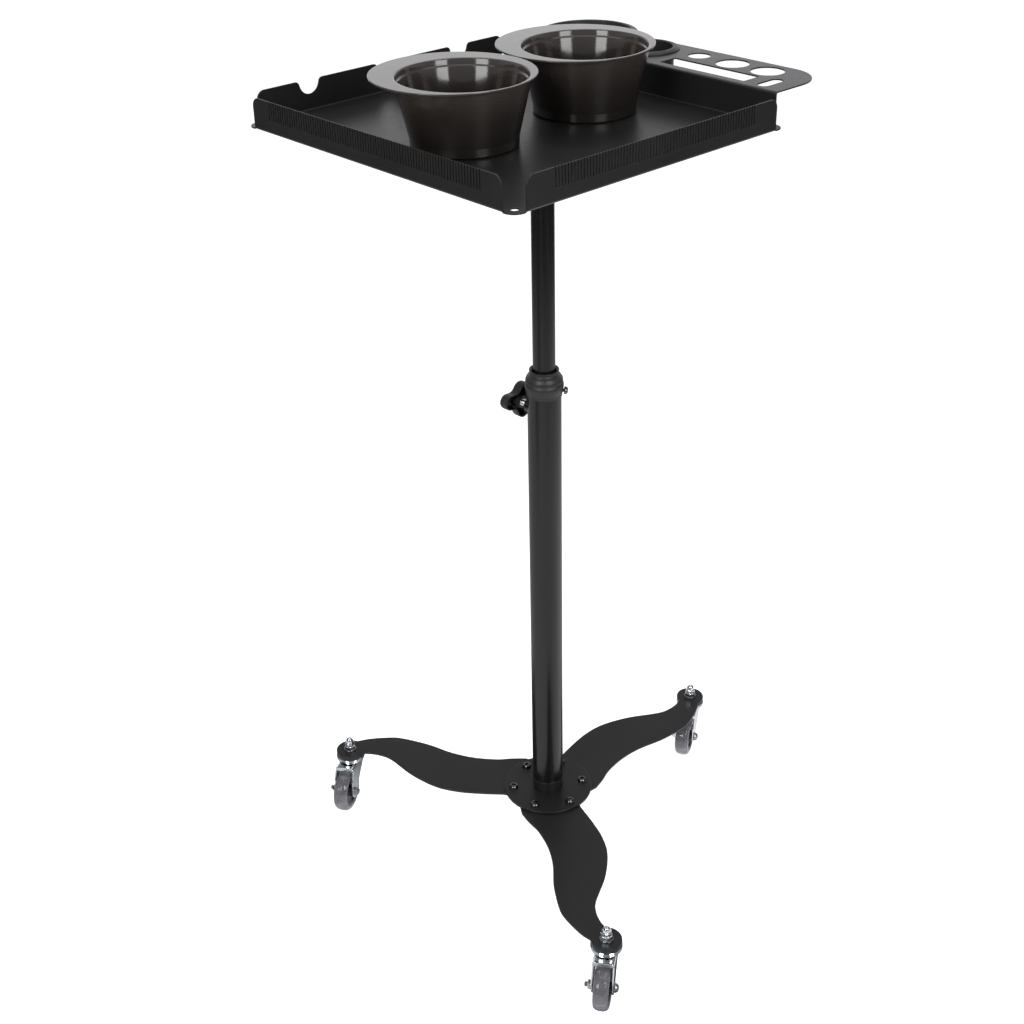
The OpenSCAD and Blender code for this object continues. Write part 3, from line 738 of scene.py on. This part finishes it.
def shelf_edge():
    """Outline of the wall and shelf on the +X side, in flat coordinates, from -Y to +Y."""
    flat, corner, blend_r = SHELF_FLAT, SHELF_CORNER, SHELF_BLEND
    dx = SHELF_X + blend_r - DRYER[0]
    dy = math.sqrt((DRYER_RIM + blend_r) ** 2 - dx * dx)
    lean = math.degrees(math.atan2(dy, dx))
    meet = math.sqrt(DRYER_RIM ** 2 - (DRYER[0] - X_HI - FOLD_R) ** 2)
    side = math.degrees(math.atan2(meet, X_HI + FOLD_R - DRYER[0]))
    wall_top = X_HI - BEND_OUT + SHELF_H + FLAT_SHIFT
    out = [(X_HI - BEND_OUT, -SHELF_Y)]
    out += arc(SHELF_X - corner + flat, -SHELF_Y + corner, corner, -90, 0, 24)
    out += arc(SHELF_X + blend_r + flat, DRYER[1] - dy, blend_r, 180, 180 - lean, 10)
    out += arc(DRYER[0] + flat, DRYER[1], DRYER_RIM, -lean, side, 90)[1:]
    slit_y = DRYER[1] + meet
    out += [(SHELF_UP - 0.5, slit_y), (SHELF_UP - 0.5, slit_y + SLIT), (wall_top, slit_y + SLIT)]
    out += arc(wall_top - 3, SHELF_Y - 3, 3, 0, 90, 5) + [(X_HI - BEND_OUT, SHELF_Y)]
    return out


def ear(sx, sy, first_gap, last_gap):
    """One corner ear, from the side it starts on, running anticlockwise round the sheet.
    The gaps are where the neighbouring walls end, measured from the virtual corner."""
    x, y = (X_LO if sx < 0 else X_HI), Y_HI * sy
    ix, iy = -sx, -sy
    if sx * sy > 0:
        a0 = 180 if sx < 0 else 0
        on_x_side = [(x + ix * BEND_OUT, y + iy * (first_gap - SLIT)), (x, y + iy * (first_gap - SLIT))]
        on_y_side = [(x + ix * (last_gap - SLIT), y), (x + ix * (last_gap - SLIT), y + iy * BEND_OUT)]
        first, last = on_x_side, on_y_side
    else:
        a0 = 270 if sx > 0 else 90
        on_y_side = [(x + ix * (first_gap - SLIT), y + iy * BEND_OUT), (x + ix * (first_gap - SLIT), y)]
        on_x_side = [(x, y + iy * (last_gap - SLIT)), (x + ix * BEND_OUT, y + iy * (last_gap - SLIT))]
        first, last = on_y_side, on_x_side
    return first + arc(x + ix * EAR_R, y + iy * EAR_R, EAR_R, a0, a0 + 90, 10) + last


def tray_outline():
    """The whole flat sheet, anticlockwise from the front corner."""
    gap = WALL_GAP
    shelf_gap = Y_HI - SHELF_Y
    out = ear(-1, -1, gap, gap)
    y_base = Y_HI - BEND_OUT
    out += [(X_LO + gap, -y_base)]
    out += [(a, -(y_base + h + FLAT_SHIFT)) for a, h in comb_edge(X_LO + gap, X_HI - gap, 268)]
    out += [(X_HI - gap, -y_base)]
    out += ear(1, -1, gap, shelf_gap)
    out += shelf_edge()
    out += ear(1, 1, shelf_gap, gap)
    out += [(X_HI - gap, y_base)]
    out += [(a, y_base + h + FLAT_SHIFT) for a, h in reversed(notch_edge(X_LO + gap, X_HI - gap))]
    out += [(X_LO + gap, y_base)]
    out += ear(-1, 1, gap, gap)
    x_base = X_LO + BEND_OUT
    out += [(x_base, Y_HI - gap)]
    out += [(x_base - h - FLAT_SHIFT, a) for a, h in reversed(comb_edge(-Y_HI + gap, Y_HI - gap, 312))]
    out += [(x_base, -Y_HI + gap)]
    return out


def fold_point(co):
    """Where a point of the flat sheet is once the four walls and the shelf are bent."""
    x, y, w = co
    base_x, base_y = X_HI - BEND_OUT, Y_HI - BEND_OUT
    if x > base_x and abs(y) < SHELF_Y + SLIT / 2:
        beyond = x > SHELF_UP + ARC_LEN + 0.05
        if x > SHELF_UP and (beyond or y < DRYER[1] + 17.2):
            s, w = fold(x - SHELF_UP, w, False)
            x = SHELF_UP + s
        s, w = fold(x - base_x, w, True)
        return base_x + s, y, w
    if x < X_LO + BEND_OUT and abs(y) < Y_HI - WALL_GAP + SLIT / 2:
        s, w = fold(X_LO + BEND_OUT - x, w, True)
        return X_LO + BEND_OUT - s, y, w
    if abs(y) > base_y and X_LO + WALL_GAP - SLIT / 2 < x < X_HI - WALL_GAP + SLIT / 2:
        s, w = fold(abs(y) - base_y, w, True)
        return x, math.copysign(base_y + s, y), w
    return x, y, w


def make_tray():
    """The folded tray and shelf, the flange under it, and the two sleeves in the shelf."""
    shift = SHELF_FLAT
    holes = [ring_points(x + shift, y, r, count) for x, y, r, count in SHELF_HOLES]
    holes.append(rounded([(x + shift, y) for x, y in LONG_SLOT], 1.0))
    (x0, x1), y, r = SMALL_SLOT
    holes.append(arc(x1 + shift, y, r, -90, 90, 16) + arc(x0 + shift, y, r, 90, 270, 16))
    for x in (X_LO + EAR_R, X_HI - EAR_R):
        for y in (-Y_HI + EAR_R, Y_HI - EAR_R):
            holes.append(ring_points(x, y, 4.0, 32))
    sheet = plate([tray_outline()] + holes, SHEET, 0.3)
    cuts = []
    for k in range(7):
        s = ARC_LEN * k / 6
        cuts += [((X_HI - BEND_OUT + s, 0, 0), (1, 0, 0)), ((SHELF_UP + s, 0, 0), (1, 0, 0)),
                 ((X_LO + BEND_OUT - s, 0, 0), (1, 0, 0)), ((0, Y_HI - BEND_OUT + s, 0), (0, 1, 0)),
                 ((0, -Y_HI + BEND_OUT - s, 0), (0, 1, 0))]
    for co, no in cuts:
        bmesh.ops.bisect_plane(sheet, geom=sheet.verts[:] + sheet.edges[:] + sheet.faces[:], dist=1e-4,
                               plane_co=co, plane_no=no)
    for v in sheet.verts:
        v.co = fold_point(v.co)
    piece("tray_pan", "sheet", [placed(sheet, move(0, 0, TRAY_Z))])

    stud_angles = [45 + 90 * k for k in range(4)]
    holes = [ring_points(STUD_CIRCLE * math.cos(a), STUD_CIRCLE * math.sin(a), 2.7, 24)
             for a in map(math.radians, stud_angles)]
    holes.append(ring_points(0, 0, 11, 64))
    disc = placed(plate([ring_points(0, 0, 45, 128)] + holes, PLATE, 0.5), move(0, 0, FLANGE_Z))
    r = INNER_R
    socket = lathe([(r + 0.05, -45), (r + 3, -45), (r + 3, -2.6, 0), (r + 3.6, -1.2, 0), (r + 4.8, -0.3, 0),
                    (r + 5.6, 0, 0), (r + 0.05, 0, 0)], 0.7, 96)
    placed(socket, move(0, 0, FLANGE_Z))
    piece("tray_flange", "flange", [disc, socket])
    nuts = [placed(nut(8, 4.5, 2.52), turn(a) @ move(STUD_CIRCLE, 0, FLANGE_Z - 4.5)) for a in stud_angles]
    piece("flange_nuts", "hexagons", nuts)

    top = TRAY_Z + SHELF_H
    for node, (x, y), r in (("tool_cup", CUP, 28.6), ("dryer_ring", DRYER, 48.0)):
        sleeve = lathe([(r, -42), (r + 1.4, -42), (r + 1.4, 0, 0.2), (r + 7.4, 0, 0.2),
                        (r + 7.4, 1.2, 0.5), (r + 5.9, 2.1, 1.2), (r + 3.4, 2.9, 1.5), (r + 1, 3, 0.8),
                        (r, 2.6, 0.6)], 0.4, 128, 5)
        piece(node, "sleeve", [placed(sleeve, move(x, y, top))])


# ---------------------------------------------------------------- bowls


def make_bowls():
    """The two tint bowls: a stepped foot, a flared wall and a wide rim whose centre is off the bowl's."""
    mouth, foot, rim_r, shift, high, step = 63.3, 52.4, 80.2, 13.5, 65.5, 11.0
    rim = 2.0
    body = rounded(
        [(0, 3), (foot - 4, 3, 2), (foot - 2.2, 4.5, 1.5), (foot - 1.8, step - 1, 1.2),
         (foot - 1.2, step + 1, 1.0), (mouth - 2.2, high - 7, 1.0), (mouth - 0.7, high - 5.5, 0.7),
         (mouth, high - 1.0, 0)], 0.5, 5)
    under = rounded(
        [(mouth + 1.8, high - rim, 0), (mouth + 0.6, high - 8, 1), (foot + 0.9, step, 1.2),
         (foot + 0.4, step - 1.5, 0.8), (foot, 1.5, 1), (foot - 1.5, 0, 0.6), (foot - 7, 0, 0.4),
         (foot - 8, 1, 0.4), (0, 1)], 0.5, 5)
    rings = [("c", r, z) for r, z in body]
    rings += [("c", mouth + 0.35, high - 0.3), ("c", mouth + 1.1, high)]
    for t in (0.12, 0.5, 0.97):
        rings.append(("c", mouth + 1.1 + (rim_r - 0.5 - mouth - 1.1) * t, high, 0, shift * t))
    for inset, down in ((0.5, 0), (0.15, 0.15), (0, 0.5), (0, 1.5), (0.15, 1.85), (0.5, 2)):
        rings.append(("c", rim_r - inset, high - down, 0, shift))
    rings.append(("c", mouth + 2.4, high - rim, 0, 0.5))
    rings += [("c", r, z) for r, z in under]
    for node, (x, y) in BOWLS.items():
        bowl = loft(rings, 160, closed=False)
        piece(node, "moulding", [placed(bowl, move(x, y, TRAY_Z + SHEET))], sharp=60)


# ---------------------------------------------------------------- casters


def fork_sheet():
    """The pressed fork as one folded sheet: a crown with two arms, in the caster's own frame."""
    thick, r_in, top, face = FORK_T, 2.0, 64.0, FORK_FACE
    start = face - r_in - thick
    arc_len = math.pi / 2 * (r_in + thick / 2)
    shoulder = top - r_in - thick
    front = blend_curve([(CROWN_X, 59.5), (27.8, 50), (30.9, 41), (TRAIL + 8.3, WHEEL_R + 1.5)], 5)
    back = blend_curve([(TRAIL - 8.3, WHEEL_R - 1.5), (5, 40), (-7, 53), (-13.4, 60)], 5)
    tip = arc(TRAIL, WHEEL_R, 8.5, 10, -190, 24)

    def flat(z):
        """How far out on the flat sheet a height on the arm lies."""
        return start + arc_len + shoulder - z

    half = [(x, -flat(z)) for x, z in back[::-1]] + [(x, -flat(z)) for x, z in tip[::-1]]
    half += [(x, -flat(z)) for x, z in front[::-1]]
    bow = 16.2
    out = [(-bow * math.cos(math.asin(start / bow)), -start)] + half
    out += [(CROWN_X, y) for y in (-start, -6, -3, 0, 3, 6, start)]
    out += [(x, -y) for x, y in half[::-1]]
    out += [(-bow * math.cos(math.asin(y / bow)), y) for y in (start, 6, 3, 0, -3, -6)]
    axle = flat(WHEEL_R)
    holes = [ring_points(0, 0, STEM_R + 0.7, 32)] + [ring_points(TRAIL, y, 3.05, 24) for y in (axle, -axle)]
    bm = plate([out] + holes, thick, 0.45)
    for k in range(9):
        s = arc_len * k / 8
        for y in (start + s, -start - s):
            bmesh.ops.bisect_plane(bm, geom=bm.verts[:] + bm.edges[:] + bm.faces[:], dist=1e-4,
                                   plane_co=(0, y, 0), plane_no=(0, 1, 0))
    for v in bm.verts:
        x, y, w = v.co
        s = abs(y) - start
        if s > 0:
            angle = min(s / (r_in + thick / 2), math.pi / 2)
            past = max(0.0, s - arc_len)
            r = w + r_in
            y = math.copysign(start + r * math.sin(angle), y)
            w = r * math.cos(angle) - r_in - past
        v.co = (x, y, w + top - thick)
    return bm


def fork_lip():
    """The lip bent down from the front of the crown, with its top corners in line with the folds."""
    side = arc(9, 60.1, 3.9, 0, 90, 5)
    outline = [(-12.9, 58.05), (12.9, 58.05)] + side + [(-x, z) for x, z in side[::-1]]
    upright = Matrix(((0, 0, 1, 0), (1, 0, 0, 0), (0, 1, 0, 0), (0, 0, 0, 1)))
    return placed(plate([outline], FORK_T, 0.7, 3), move(CROWN_X - 1.7, 0, 0) @ upright)


def make_casters():
    """The three casters, from the domed nut on the leg down to the tyre."""
    washers, nuts, domes = [], [], []
    for i in LEG_ANGLE:
        at = at_stem(i)
        washers.append(placed(lathe([(STEM_R + 0.05, 0), (8, 0), (8, 1.5), (STEM_R + 0.05, 1.5)], 0.35, 64),
                              at @ move(0, 0, LEG_Z)))
        nuts.append(placed(nut(13, 6, STEM_R + 0.05, 1.2), at @ turn(10 * i) @ move(0, 0, LEG_Z + 1.5)))
        dome = loft([("c", 0, 0.2), ("c", 5.1, 0), ("h", 10.8, 0.7), ("h", 11, 1.2), ("h", 11, 3.3),
                     ("h", 10.7, 3.8), ("c", 4.95, 4.3), ("c", 4.7, 4.8), ("c", 4.7, 6.1), ("c", 4.54, 7.3),
                     ("c", 4.07, 8.45), ("c", 3.32, 9.42), ("c", 2.35, 10.17), ("c", 1.2, 10.64),
                     ("c", 0, 10.8)], 48, closed=False)
        domes.append(placed(dome, at @ turn(25 * i) @ move(0, 0, LEG_Z + 7.5)))
    piece("caster_washers", "rings", washers)
    piece("caster_nuts", "hexagons", nuts)
    piece("caster_domes", "caps", domes)

    for i in LEG_ANGLE:
        stem = lathe([(0, 59), (9, 59, 1.2), (9, 61.7, 0.4), (STEM_R, 61.7, 0), (STEM_R, 91.4),
                      (0, 91.4)], 0.6, 48)
        piece(f"stem_{i}", "turned", [placed(stem, at_stem(i))])
        under = at_stem(i) @ move(0, 0, LEG_Z - PLATE)
        # a thin black plastic ring just under the leg, over the top of the chrome race
        black_ring = lathe([(STEM_R + 0.1, 0), (17.8, 0, 0.3), (17.8, -3.4, 0.8), (16.5, -3.45),
                       (STEM_R + 0.1, -3.4)], 0.2, 96, 5)
        piece(f"race_{i}", "black_band", [placed(black_ring, under)], slot="black_plastic")
        race = lathe([(12, -3.5), (16.6, -3.5, 0.3), (17.4, -3.6, 0.4), (18.5, -4.5, 0.9), (18.5, -6.0, 0.5),
                      (18.0, -6.5, 0.4), (18.5, -7.0, 0.5), (18.5, -8.4, 0.9), (17.2, -9), (16.9, -9),
                      (16.9, -4.6), (16.2, -4.0), (12, -4.0)], 0.2, 96, 5)
        piece(f"race_{i}", "pressing", [placed(race, under)])
        cup = lathe([(STEM_R + 0.7, 64.02), (15.6, 64.02, 0), (15.6, 66.6, 1.2), (11, 66.4, 0.6),
                     (STEM_R + 0.7, 65.6)], 0.4, 96, 5)
        piece(f"fork_{i}", "pressing", [placed(bm, at_caster(i)) for bm in (fork_sheet(), fork_lip(), cup)],
              sharp=50)
        axle, f = on_axle(i), FORK_FACE
        head = lathe([(3, f - 1, 0), (3, f, 0), (5.6, f, 0.2), (5.6, f + 1.4, 0.6), (5, f + 3.2, 1.2),
                      (3.4, f + 4.6, 1), (1.6, f + 5.1, 0.6), (0, f + 5.2), (0, f - 1)], 0.3, 48)
        shank = lathe([(0, -f - 5), (3, -f - 5), (3, f), (0, f)], 0.4, 32)
        tip = thread(3.0, 1.0, -f - 8.2, -f - 4.0, 0.4)
        piece(f"axle_bolt_{i}", "turned", [placed(bm, axle) for bm in (head, shank, tip)])
        flange = lathe([(3.05, -f - 1), (5.9, -f - 1, 0.4), (5.9, -f), (3.05, -f)], 0.2, 48)
        piece(f"axle_nut_{i}", "nut", [placed(nut(10, 3.6, 3.05), axle @ turn(12 * i) @ move(0, 0, -f - 4.6)),
                                       placed(flange, axle)])
        core = lathe([(3.1, -10.6), (7.5, -10.6), (8, -6.5, 1), (15.5, -6, 1.2), (17, -7.8, 0.6),
                      (20, -7.8), (20, 7.8), (17, 7.8, 0.6), (15.5, 6, 1.2), (8, 6.5, 1), (7.5, 10.6),
                      (3.1, 10.6)], 0.4, 96)
        piece(f"wheel_core_{i}", "moulding", [placed(core, axle)])
        w, r = 9.0, WHEEL_R
        tyre = lathe([(20.02, -w + 1), (21.2, -w, 0.8), (r - 4.2, -w, 2), (r - 2.2, -w + 1.2, 2),
                      (r - 0.7, -w + 3.4, 2.4), (r, -w + 6.6, 3), (r, w - 6.6, 3), (r - 0.7, w - 3.4, 2.4),
                      (r - 2.2, w - 1.2, 2), (r - 4.2, w, 2), (21.2, w, 0.8), (20.02, w - 1)], 0.4, 128, 6)
        piece(f"tyre_{i}", "tread", [placed(tyre, axle)])


# ---------------------------------------------------------------- stage

# Sizes of the stage are in metres, and azimuths in degrees: 0 is the camera's side of the object, and
# positive is to the camera's right.
FLOOR_HALF, BACKDROP_R, BACKDROP_H = 14, 9, 16
GLOSS_R, SCREEN_R, SCREEN_H, SCREEN_HALF = 6, 1.7, 0.9, 135
AIM = Vector((0, 0, 0.7))
# What gloss sees: levels by azimuth everywhere, then extra shade close to the trolley, and far from it.
# Each shade comes in between its two distances.
LEVELS = ((-175, 0.5), (-135, 0.5), (-100, 0.6), (-70, 0.72), (-50, 0.8), (30, 0.78), (50, 0.85), (85, 1),
          (112, 0.9), (140, 0.65), (175, 0.5))
SHADES = (
    (0.42, 0.32, ((-150, 0), (-130, 0.1), (-105, 0.9), (-60, 1), (-12, 1), (6, 0.4), (13, 0.08), (20, 0.08),
                  (32, 0.6), (50, 1), (175, 1))),
    (0.95, 1.15, ((-175, 1), (-72, 1), (-60, 0.5), (-53, 0.08), (-45, 0.4), (-32, 0.9), (-5, 0.9), (10, 0.7),
                  (40, 0.75), (175, 0.75))))


def soft_light(name, azimuth, distance, height, size, radiance):
    """A rectangular softbox that faces the middle of the trolley."""
    data = bpy.data.lights.new(name, "AREA")
    data.shape = "RECTANGLE"
    data.size, data.size_y = size
    data.energy = radiance * math.pi * size[0] * size[1]
    ob = linked(name, data)
    a = HEADING + math.pi + math.radians(azimuth)
    ob.location = (distance * math.cos(a), distance * math.sin(a), height)
    ob.rotation_euler = (ob.location - AIM).to_track_quat("Z", "Y").to_euler()
    ob.visible_camera = False


def scenery(name, bm, material, unseen_by, yaw=0.0):
    """A piece of the stage, unseen by the named kinds of ray."""
    ob = linked(name, as_mesh(name, bm))
    ob.data.materials.append(material)
    ob.rotation_euler.z = yaw
    for ray in unseen_by:
        setattr(ob, "visible_" + ray, False)


def make_floor():
    """A plain pale floor, and a round backdrop like it that only the camera sees, so that a low view has
    no horizon."""
    paint = Finish("floor", Base_Color=(0.86, 0.86, 0.86, 1), Roughness=0.9, Specular_IOR_Level=0.1,
                   Emission_Color=(1, 1, 1, 1), Emission_Strength=0.75).material
    floor = bmesh.new()
    half = FLOOR_HALF
    floor.faces.new([floor.verts.new((x, y, 0))
                     for x, y in ((-half, -half), (half, -half), (half, half), (-half, half))])
    scenery("floor", floor, paint, ["glossy"])
    wall = bmesh.new()
    bmesh.ops.create_cone(wall, cap_ends=False, segments=96, radius1=BACKDROP_R, radius2=BACKDROP_R,
                          depth=BACKDROP_H)
    scenery("backdrop", wall, paint, ["diffuse", "glossy", "shadow", "transmission"])


def gloss_stage():
    """The glow of what only gloss sees. It is brightest low down, and local +X points to the camera's
    side, so the angle round Z is the azimuth."""
    f = Finish("gloss_stage", Base_Color=(0, 0, 0, 1), Specular_IOR_Level=0.0)
    around, far = f.node("TexGradient", gradient_type="RADIAL"), f.node("VectorMath", operation="LENGTH")
    up = f.node("SeparateXYZ")
    for inlet in (around.inputs["Vector"], far.inputs[0], up.inputs["Vector"]):
        f.join(f.where, inlet)

    def by_azimuth(levels):
        """A grey level by azimuth."""
        return f.ramp(around.outputs["Fac"], [(0.5 + a / 360, (grey, grey, grey)) for a, grey in levels])

    level = by_azimuth(LEVELS)
    for start, full, shade in SHADES:
        mix = f.node("Mix", data_type="RGBA", blend_type="MULTIPLY")
        f.join(f.spread(far.outputs["Value"], start, full, 0, 1), mix.inputs["Factor"])
        f.join(level, mix.inputs["A"])
        f.join(by_azimuth(shade), mix.inputs["B"])
        level = mix.outputs["Result"]
    f.join(level, f.shader.inputs["Emission Color"])
    f.join(f.spread(up.outputs["Z"], 0.002, 0.11, 1.15, 0.0), f.shader.inputs["Emission Strength"])
    return f.material


def make_gloss_stage():
    """The floor and the low screen round it that shape the reflections, and nothing else."""
    glow, yaw = gloss_stage(), HEADING + math.pi
    unseen_by = ["camera", "diffuse", "shadow", "transmission"]
    disc = bmesh.new()
    disc.faces.new([disc.verts.new((x, y, 0.001)) for x, y in ring_points(0, 0, GLOSS_R, 96)])
    scenery("floor_gloss", disc, glow, unseen_by, yaw)
    screen = bmesh.new()
    low, high = ([(x, y, z) for x, y in arc(0, 0, SCREEN_R, -SCREEN_HALF, SCREEN_HALF, 96)]
                 for z in (0.002, SCREEN_H))
    for k in range(96):
        screen.faces.new([screen.verts.new(co) for co in (low[k], low[k + 1], high[k + 1], high[k])])
    scenery("screen", screen, glow, unseen_by, yaw)


def make_world():
    """A sky that is brighter behind the trolley than behind the camera, and dims with height."""
    world = bpy.data.worlds.new("studio")
    bpy.context.scene.world = world
    world.use_nodes = True
    n = Nodes(world.node_tree)
    where = n.node("TexCoord").outputs["Generated"]
    away, up = n.node("VectorMath", operation="DOT_PRODUCT"), n.node("SeparateXYZ")
    away.inputs[1].default_value = (math.cos(HEADING), math.sin(HEADING), 0.0)
    n.join(where, away.inputs[0])
    n.join(where, up.inputs["Vector"])
    both = n.node("Math", operation="MULTIPLY")
    n.join(n.spread(away.outputs["Value"], -0.6, 0.7, 0.35, 0.95), both.inputs[0])
    n.join(n.spread(up.outputs["Z"], 0.28, 0.52, 1.35, 0.3), both.inputs[1])
    background = n.tree.nodes["Background"]
    background.inputs["Color"].default_value = (0.98, 0.975, 1, 1)
    n.join(both.outputs["Value"], background.inputs["Strength"])


def make_stage():
    """The floor, the soft lights and the sky."""
    make_floor()
    make_gloss_stage()
    soft_light("softbox_left", -35, 2.1, 1.75, (0.85, 1.5), 8.0)
    soft_light("softbox_right", 35, 2.1, 1.75, (0.85, 1.5), 8.0)
    soft_light("softbox_top", 180, 0.4, 2.6, (2.2, 2.2), 1.2)
    make_world()
    bpy.context.scene.view_settings.view_transform = "Standard"


# ---------------------------------------------------------------- everything

make_camera()
make_base()
make_post()
make_tray()
make_bowls()
make_casters()
make_stage()
for name, ob in frame["nodes"].items():
    if not ob.hide_render:
        ob.data.materials.clear()
        ob.data.materials.append(LOOKS[SLOT_OF[name]])
